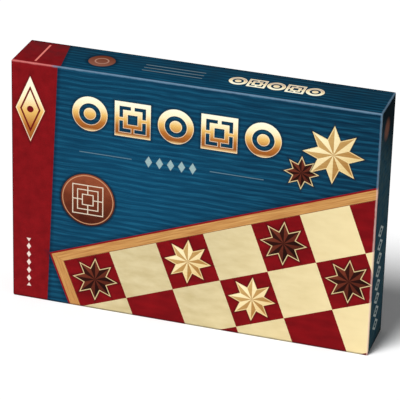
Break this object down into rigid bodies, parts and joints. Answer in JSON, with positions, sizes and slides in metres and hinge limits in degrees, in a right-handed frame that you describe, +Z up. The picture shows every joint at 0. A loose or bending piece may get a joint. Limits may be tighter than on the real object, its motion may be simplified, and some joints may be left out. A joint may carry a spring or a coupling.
{
  "type": "board game box",
  "caption": "Flat game box with a lift-off printed lid, a base, a formed tray, a folding chequered board, a rules leaflet and turned wooden men.",
  "frame": {"origin": "on the floor, under the middle of the box, which stands on its long side wall", "axes": "+X along the long side, +Y from the cover to the back of the base, +Z up; the cover faces -Y"},
  "size_m": [0.33, 0.05, 0.23],
  "materials": {
    "lid_print": "satin",
    "base_card": "matte",
    "tray_plastic": "gloss",
    "board_card": "satin",
    "play_print": "satin",
    "leaflet_paper": "matte",
    "light_wood": "satin",
    "dark_wood": "satin"
  },
  "bodies": {
    "base": {"base_shell": "base_card"},
    "lid": {"lid_shell": "lid_print"},
    "tray": {"insert_tray": "tray_plastic"},
    "leaflet": {"rules_leaflet": "leaflet_paper"},
    "board": {"board_panel_lower": "board_card", "board_play_sheet": "play_print"},
    "board_flap": {"board_panel_upper": "board_card"},
    "man_light_01": {"man_light_01": "light_wood"},
    "man_light_02": {"man_light_02": "light_wood"},
    "man_light_03": {"man_light_03": "light_wood"},
    "man_light_04": {"man_light_04": "light_wood"},
    "man_light_05": {"man_light_05": "light_wood"},
    "man_light_06": {"man_light_06": "light_wood"},
    "man_light_07": {"man_light_07": "light_wood"},
    "man_light_08": {"man_light_08": "light_wood"},
    "man_light_09": {"man_light_09": "light_wood"},
    "man_light_10": {"man_light_10": "light_wood"},
    "man_light_11": {"man_light_11": "light_wood"},
    "man_light_12": {"man_light_12": "light_wood"},
    "man_dark_01": {"man_dark_01": "dark_wood"},
    "man_dark_02": {"man_dark_02": "dark_wood"},
    "man_dark_03": {"man_dark_03": "dark_wood"},
    "man_dark_04": {"man_dark_04": "dark_wood"},
    "man_dark_05": {"man_dark_05": "dark_wood"},
    "man_dark_06": {"man_dark_06": "dark_wood"},
    "man_dark_07": {"man_dark_07": "dark_wood"},
    "man_dark_08": {"man_dark_08": "dark_wood"},
    "man_dark_09": {"man_dark_09": "dark_wood"},
    "man_dark_10": {"man_dark_10": "dark_wood"},
    "man_dark_11": {"man_dark_11": "dark_wood"},
    "man_dark_12": {"man_dark_12": "dark_wood"}
  },
  "joints": [
    {"name": "lid_lift", "type": "slide", "parent": "base", "child": "lid", "axis": [0, -1, 0], "range_m": [0, 0.65]},
    {"name": "tray_lift", "type": "slide", "parent": "base", "child": "tray", "axis": [0, -1, 0], "range_m": [0, 0.052]},
    {"name": "leaflet_lift", "type": "slide", "parent": "tray", "child": "leaflet", "axis": [0, -1, 0], "range_m": [0, 0.0585]},
    {"name": "board_lift", "type": "slide", "parent": "tray", "child": "board", "axis": [0, -1, 0], "range_m": [0, 0.117]},
    {"name": "board_unfold", "type": "hinge", "parent": "board", "child": "board_flap", "pos_m": [0, -0.0186, 0.2184], "axis": [-1, 0, 0], "range_deg": [0, 180]},
    {"name": "man_light_01_lift", "type": "slide", "parent": "tray", "child": "man_light_01", "axis": [0, -1, 0], "range_m": [0, 0.0195]},
    {"name": "man_light_02_lift", "type": "slide", "parent": "tray", "child": "man_light_02", "axis": [0, -1, 0], "range_m": [0, 0.02275]},
    {"name": "man_light_03_lift", "type": "slide", "parent": "tray", "child": "man_light_03", "axis": [0, -1, 0], "range_m": [0, 0.026]},
    {"name": "man_light_04_lift", "type": "slide", "parent": "tray", "child": "man_light_04", "axis": [0, -1, 0], "range_m": [0, 0.02925]},
    {"name": "man_light_05_lift", "type": "slide", "parent": "tray", "child": "man_light_05", "axis": [0, -1, 0], "range_m": [0, 0.0325]},
    {"name": "man_light_06_lift", "type": "slide", "parent": "tray", "child": "man_light_06", "axis": [0, -1, 0], "range_m": [0, 0.03575]},
    {"name": "man_light_07_lift", "type": "slide", "parent": "tray", "child": "man_light_07", "axis": [0, -1, 0], "range_m": [0, 0.039]},
    {"name": "man_light_08_lift", "type": "slide", "parent": "tray", "child": "man_light_08", "axis": [0, -1, 0], "range_m": [0, 0.04225]},
    {"name": "man_light_09_lift", "type": "slide", "parent": "tray", "child": "man_light_09", "axis": [0, -1, 0], "range_m": [0, 0.0455]},
    {"name": "man_light_10_lift", "type": "slide", "parent": "tray", "child": "man_light_10", "axis": [0, -1, 0], "range_m": [0, 0.04875]},
    {"name": "man_light_11_lift", "type": "slide", "parent": "tray", "child": "man_light_11", "axis": [0, -1, 0], "range_m": [0, 0.052]},
    {"name": "man_light_12_lift", "type": "slide", "parent": "tray", "child": "man_light_12", "axis": [0, -1, 0], "range_m": [0, 0.05525]},
    {"name": "man_dark_01_lift", "type": "slide", "parent": "tray", "child": "man_dark_01", "axis": [0, -1, 0], "range_m": [0, 0.05525]},
    {"name": "man_dark_02_lift", "type": "slide", "parent": "tray", "child": "man_dark_02", "axis": [0, -1, 0], "range_m": [0, 0.052]},
    {"name": "man_dark_03_lift", "type": "slide", "parent": "tray", "child": "man_dark_03", "axis": [0, -1, 0], "range_m": [0, 0.04875]},
    {"name": "man_dark_04_lift", "type": "slide", "parent": "tray", "child": "man_dark_04", "axis": [0, -1, 0], "range_m": [0, 0.0455]},
    {"name": "man_dark_05_lift", "type": "slide", "parent": "tray", "child": "man_dark_05", "axis": [0, -1, 0], "range_m": [0, 0.04225]},
    {"name": "man_dark_06_lift", "type": "slide", "parent": "tray", "child": "man_dark_06", "axis": [0, -1, 0], "range_m": [0, 0.039]},
    {"name": "man_dark_07_lift", "type": "slide", "parent": "tray", "child": "man_dark_07", "axis": [0, -1, 0], "range_m": [0, 0.03575]},
    {"name": "man_dark_08_lift", "type": "slide", "parent": "tray", "child": "man_dark_08", "axis": [0, -1, 0], "range_m": [0, 0.0325]},
    {"name": "man_dark_09_lift", "type": "slide", "parent": "tray", "child": "man_dark_09", "axis": [0, -1, 0], "range_m": [0, 0.02925]},
    {"name": "man_dark_10_lift", "type": "slide", "parent": "tray", "child": "man_dark_10", "axis": [0, -1, 0], "range_m": [0, 0.026]},
    {"name": "man_dark_11_lift", "type": "slide", "parent": "tray", "child": "man_dark_11", "axis": [0, -1, 0], "range_m": [0, 0.02275]},
    {"name": "man_dark_12_lift", "type": "slide", "parent": "tray", "child": "man_dark_12", "axis": [0, -1, 0], "range_m": [0, 0.0195]}
  ],
  "couplings": [
    {"joint": "tray_lift", "follows": "lid_lift", "ratio": 0.08},
    {"joint": "leaflet_lift", "follows": "lid_lift", "ratio": 0.09},
    {"joint": "board_lift", "follows": "lid_lift", "ratio": 0.18},
    {"joint": "board_unfold", "follows": "lid_lift", "rad_per_m": 4.8332},
    {"joint": "man_light_01_lift", "follows": "lid_lift", "ratio": 0.03},
    {"joint": "man_light_02_lift", "follows": "lid_lift", "ratio": 0.035},
    {"joint": "man_light_03_lift", "follows": "lid_lift", "ratio": 0.04},
    {"joint": "man_light_04_lift", "follows": "lid_lift", "ratio": 0.045},
    {"joint": "man_light_05_lift", "follows": "lid_lift", "ratio": 0.05},
    {"joint": "man_light_06_lift", "follows": "lid_lift", "ratio": 0.055},
    {"joint": "man_light_07_lift", "follows": "lid_lift", "ratio": 0.06},
    {"joint": "man_light_08_lift", "follows": "lid_lift", "ratio": 0.065},
    {"joint": "man_light_09_lift", "follows": "lid_lift", "ratio": 0.07},
    {"joint": "man_light_10_lift", "follows": "lid_lift", "ratio": 0.075},
    {"joint": "man_light_11_lift", "follows": "lid_lift", "ratio": 0.08},
    {"joint": "man_light_12_lift", "follows": "lid_lift", "ratio": 0.085},
    {"joint": "man_dark_01_lift", "follows": "lid_lift", "ratio": 0.085},
    {"joint": "man_dark_02_lift", "follows": "lid_lift", "ratio": 0.08},
    {"joint": "man_dark_03_lift", "follows": "lid_lift", "ratio": 0.075},
    {"joint": "man_dark_04_lift", "follows": "lid_lift", "ratio": 0.07},
    {"joint": "man_dark_05_lift", "follows": "lid_lift", "ratio": 0.065},
    {"joint": "man_dark_06_lift", "follows": "lid_lift", "ratio": 0.06},
    {"joint": "man_dark_07_lift", "follows": "lid_lift", "ratio": 0.055},
    {"joint": "man_dark_08_lift", "follows": "lid_lift", "ratio": 0.05},
    {"joint": "man_dark_09_lift", "follows": "lid_lift", "ratio": 0.045},
    {"joint": "man_dark_10_lift", "follows": "lid_lift", "ratio": 0.04},
    {"joint": "man_dark_11_lift", "follows": "lid_lift", "ratio": 0.035},
    {"joint": "man_dark_12_lift", "follows": "lid_lift", "ratio": 0.03}
  ]
}
